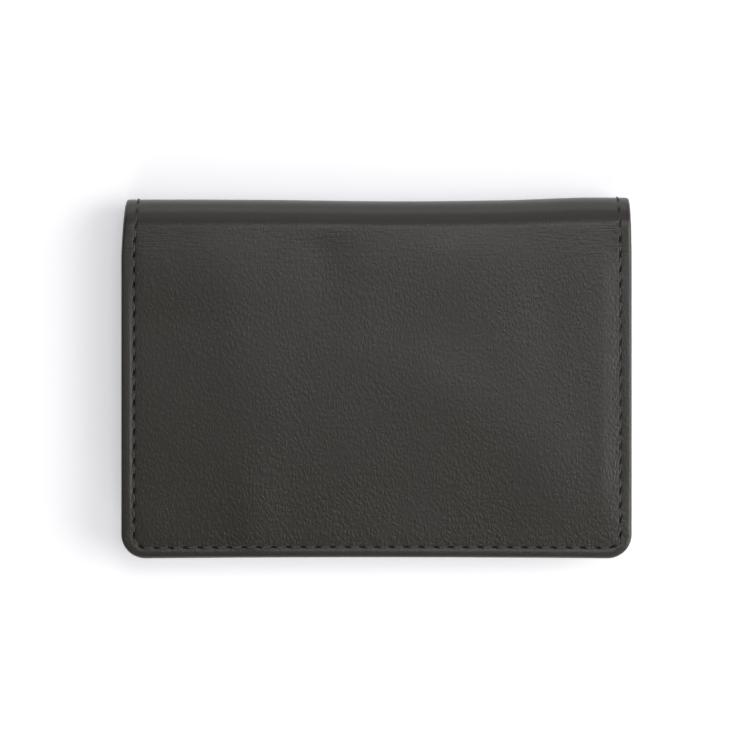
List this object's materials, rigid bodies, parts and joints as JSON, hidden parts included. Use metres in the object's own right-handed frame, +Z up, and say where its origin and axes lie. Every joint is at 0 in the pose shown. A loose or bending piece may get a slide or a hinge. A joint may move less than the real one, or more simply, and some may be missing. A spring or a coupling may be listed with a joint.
{
  "type": "business card holder",
  "caption": "Folding leather business card holder with a gusseted card pocket, stepped card slots and a soft rounded fold.",
  "frame": {"origin": "on the resting surface, under the middle of the closed case", "axes": "+X along the fold, +Y from the open edge towards the fold, +Z up through the closed case from the back cover to the front cover"},
  "size_m": [0.108, 0.0762, 0.0127],
  "materials": {
    "outer_leather": "smooth fine-grained black leather with a soft satin sheen",
    "lining_leather": "thin black lining leather, matte",
    "gusset_leather": "thin soft black leather, matte",
    "stiffener_board": "plain grey-brown board",
    "sewing_thread": "black twisted sewing thread"
  },
  "bodies": {
    "back_half": {"back_cover": "outer_leather", "back_stiffener": "stiffener_board", "back_lining": "lining_leather", "back_hinge_lining": "lining_leather", "back_seam_outer_thread": "sewing_thread", "back_seam_inner_thread": "sewing_thread", "card_pocket_gusset": "gusset_leather"},
    "pocket_wall": {"card_pocket_wall": "outer_leather", "card_pocket_wall_lining": "lining_leather", "card_pocket_seam_thread": "sewing_thread", "card_pocket_mouth_thread": "sewing_thread"},
    "spine_lower": {"spine_leather_lower": "outer_leather", "spine_hinge_lining_lower": "lining_leather", "spine_left_thread_lower": "sewing_thread", "spine_right_thread_lower": "sewing_thread"},
    "spine_upper": {"spine_leather_upper": "outer_leather", "spine_hinge_lining_upper": "lining_leather", "spine_left_thread_upper": "sewing_thread", "spine_right_thread_upper": "sewing_thread"},
    "front_half": {"front_cover": "outer_leather", "front_stiffener": "stiffener_board", "front_lining": "lining_leather", "front_hinge_lining": "lining_leather", "front_seam_outer_thread": "sewing_thread", "front_seam_inner_thread": "sewing_thread", "card_slot_rear": "lining_leather", "card_slot_rear_thread": "sewing_thread", "card_slot_front": "lining_leather", "card_slot_front_thread": "sewing_thread"}
  },
  "joints": [
    {"name": "fold_lower", "type": "hinge", "parent": "back_half", "child": "spine_lower", "pos_m": [0, 0.03487, 0.00095], "axis": [-1, 0, 0], "range_deg": [0, 60]},
    {"name": "fold_middle", "type": "hinge", "parent": "spine_lower", "child": "spine_upper", "pos_m": [0, 0.03798, 0.00635], "axis": [-1, 0, 0], "range_deg": [0, 60]},
    {"name": "fold_upper", "type": "hinge", "parent": "spine_upper", "child": "front_half", "pos_m": [0, 0.03487, 0.01175], "axis": [-1, 0, 0], "range_deg": [0, 60]},
    {"name": "pocket_press", "type": "slide", "parent": "back_half", "child": "pocket_wall", "axis": [0, 0, 1], "range_m": [-0.0029, 0], "deforming": ["card_pocket_gusset"]}
  ],
  "couplings": [
    {"joint": "fold_middle", "follows": "fold_lower", "ratio": 1},
    {"joint": "fold_upper", "follows": "fold_lower", "ratio": 1}
  ]
}
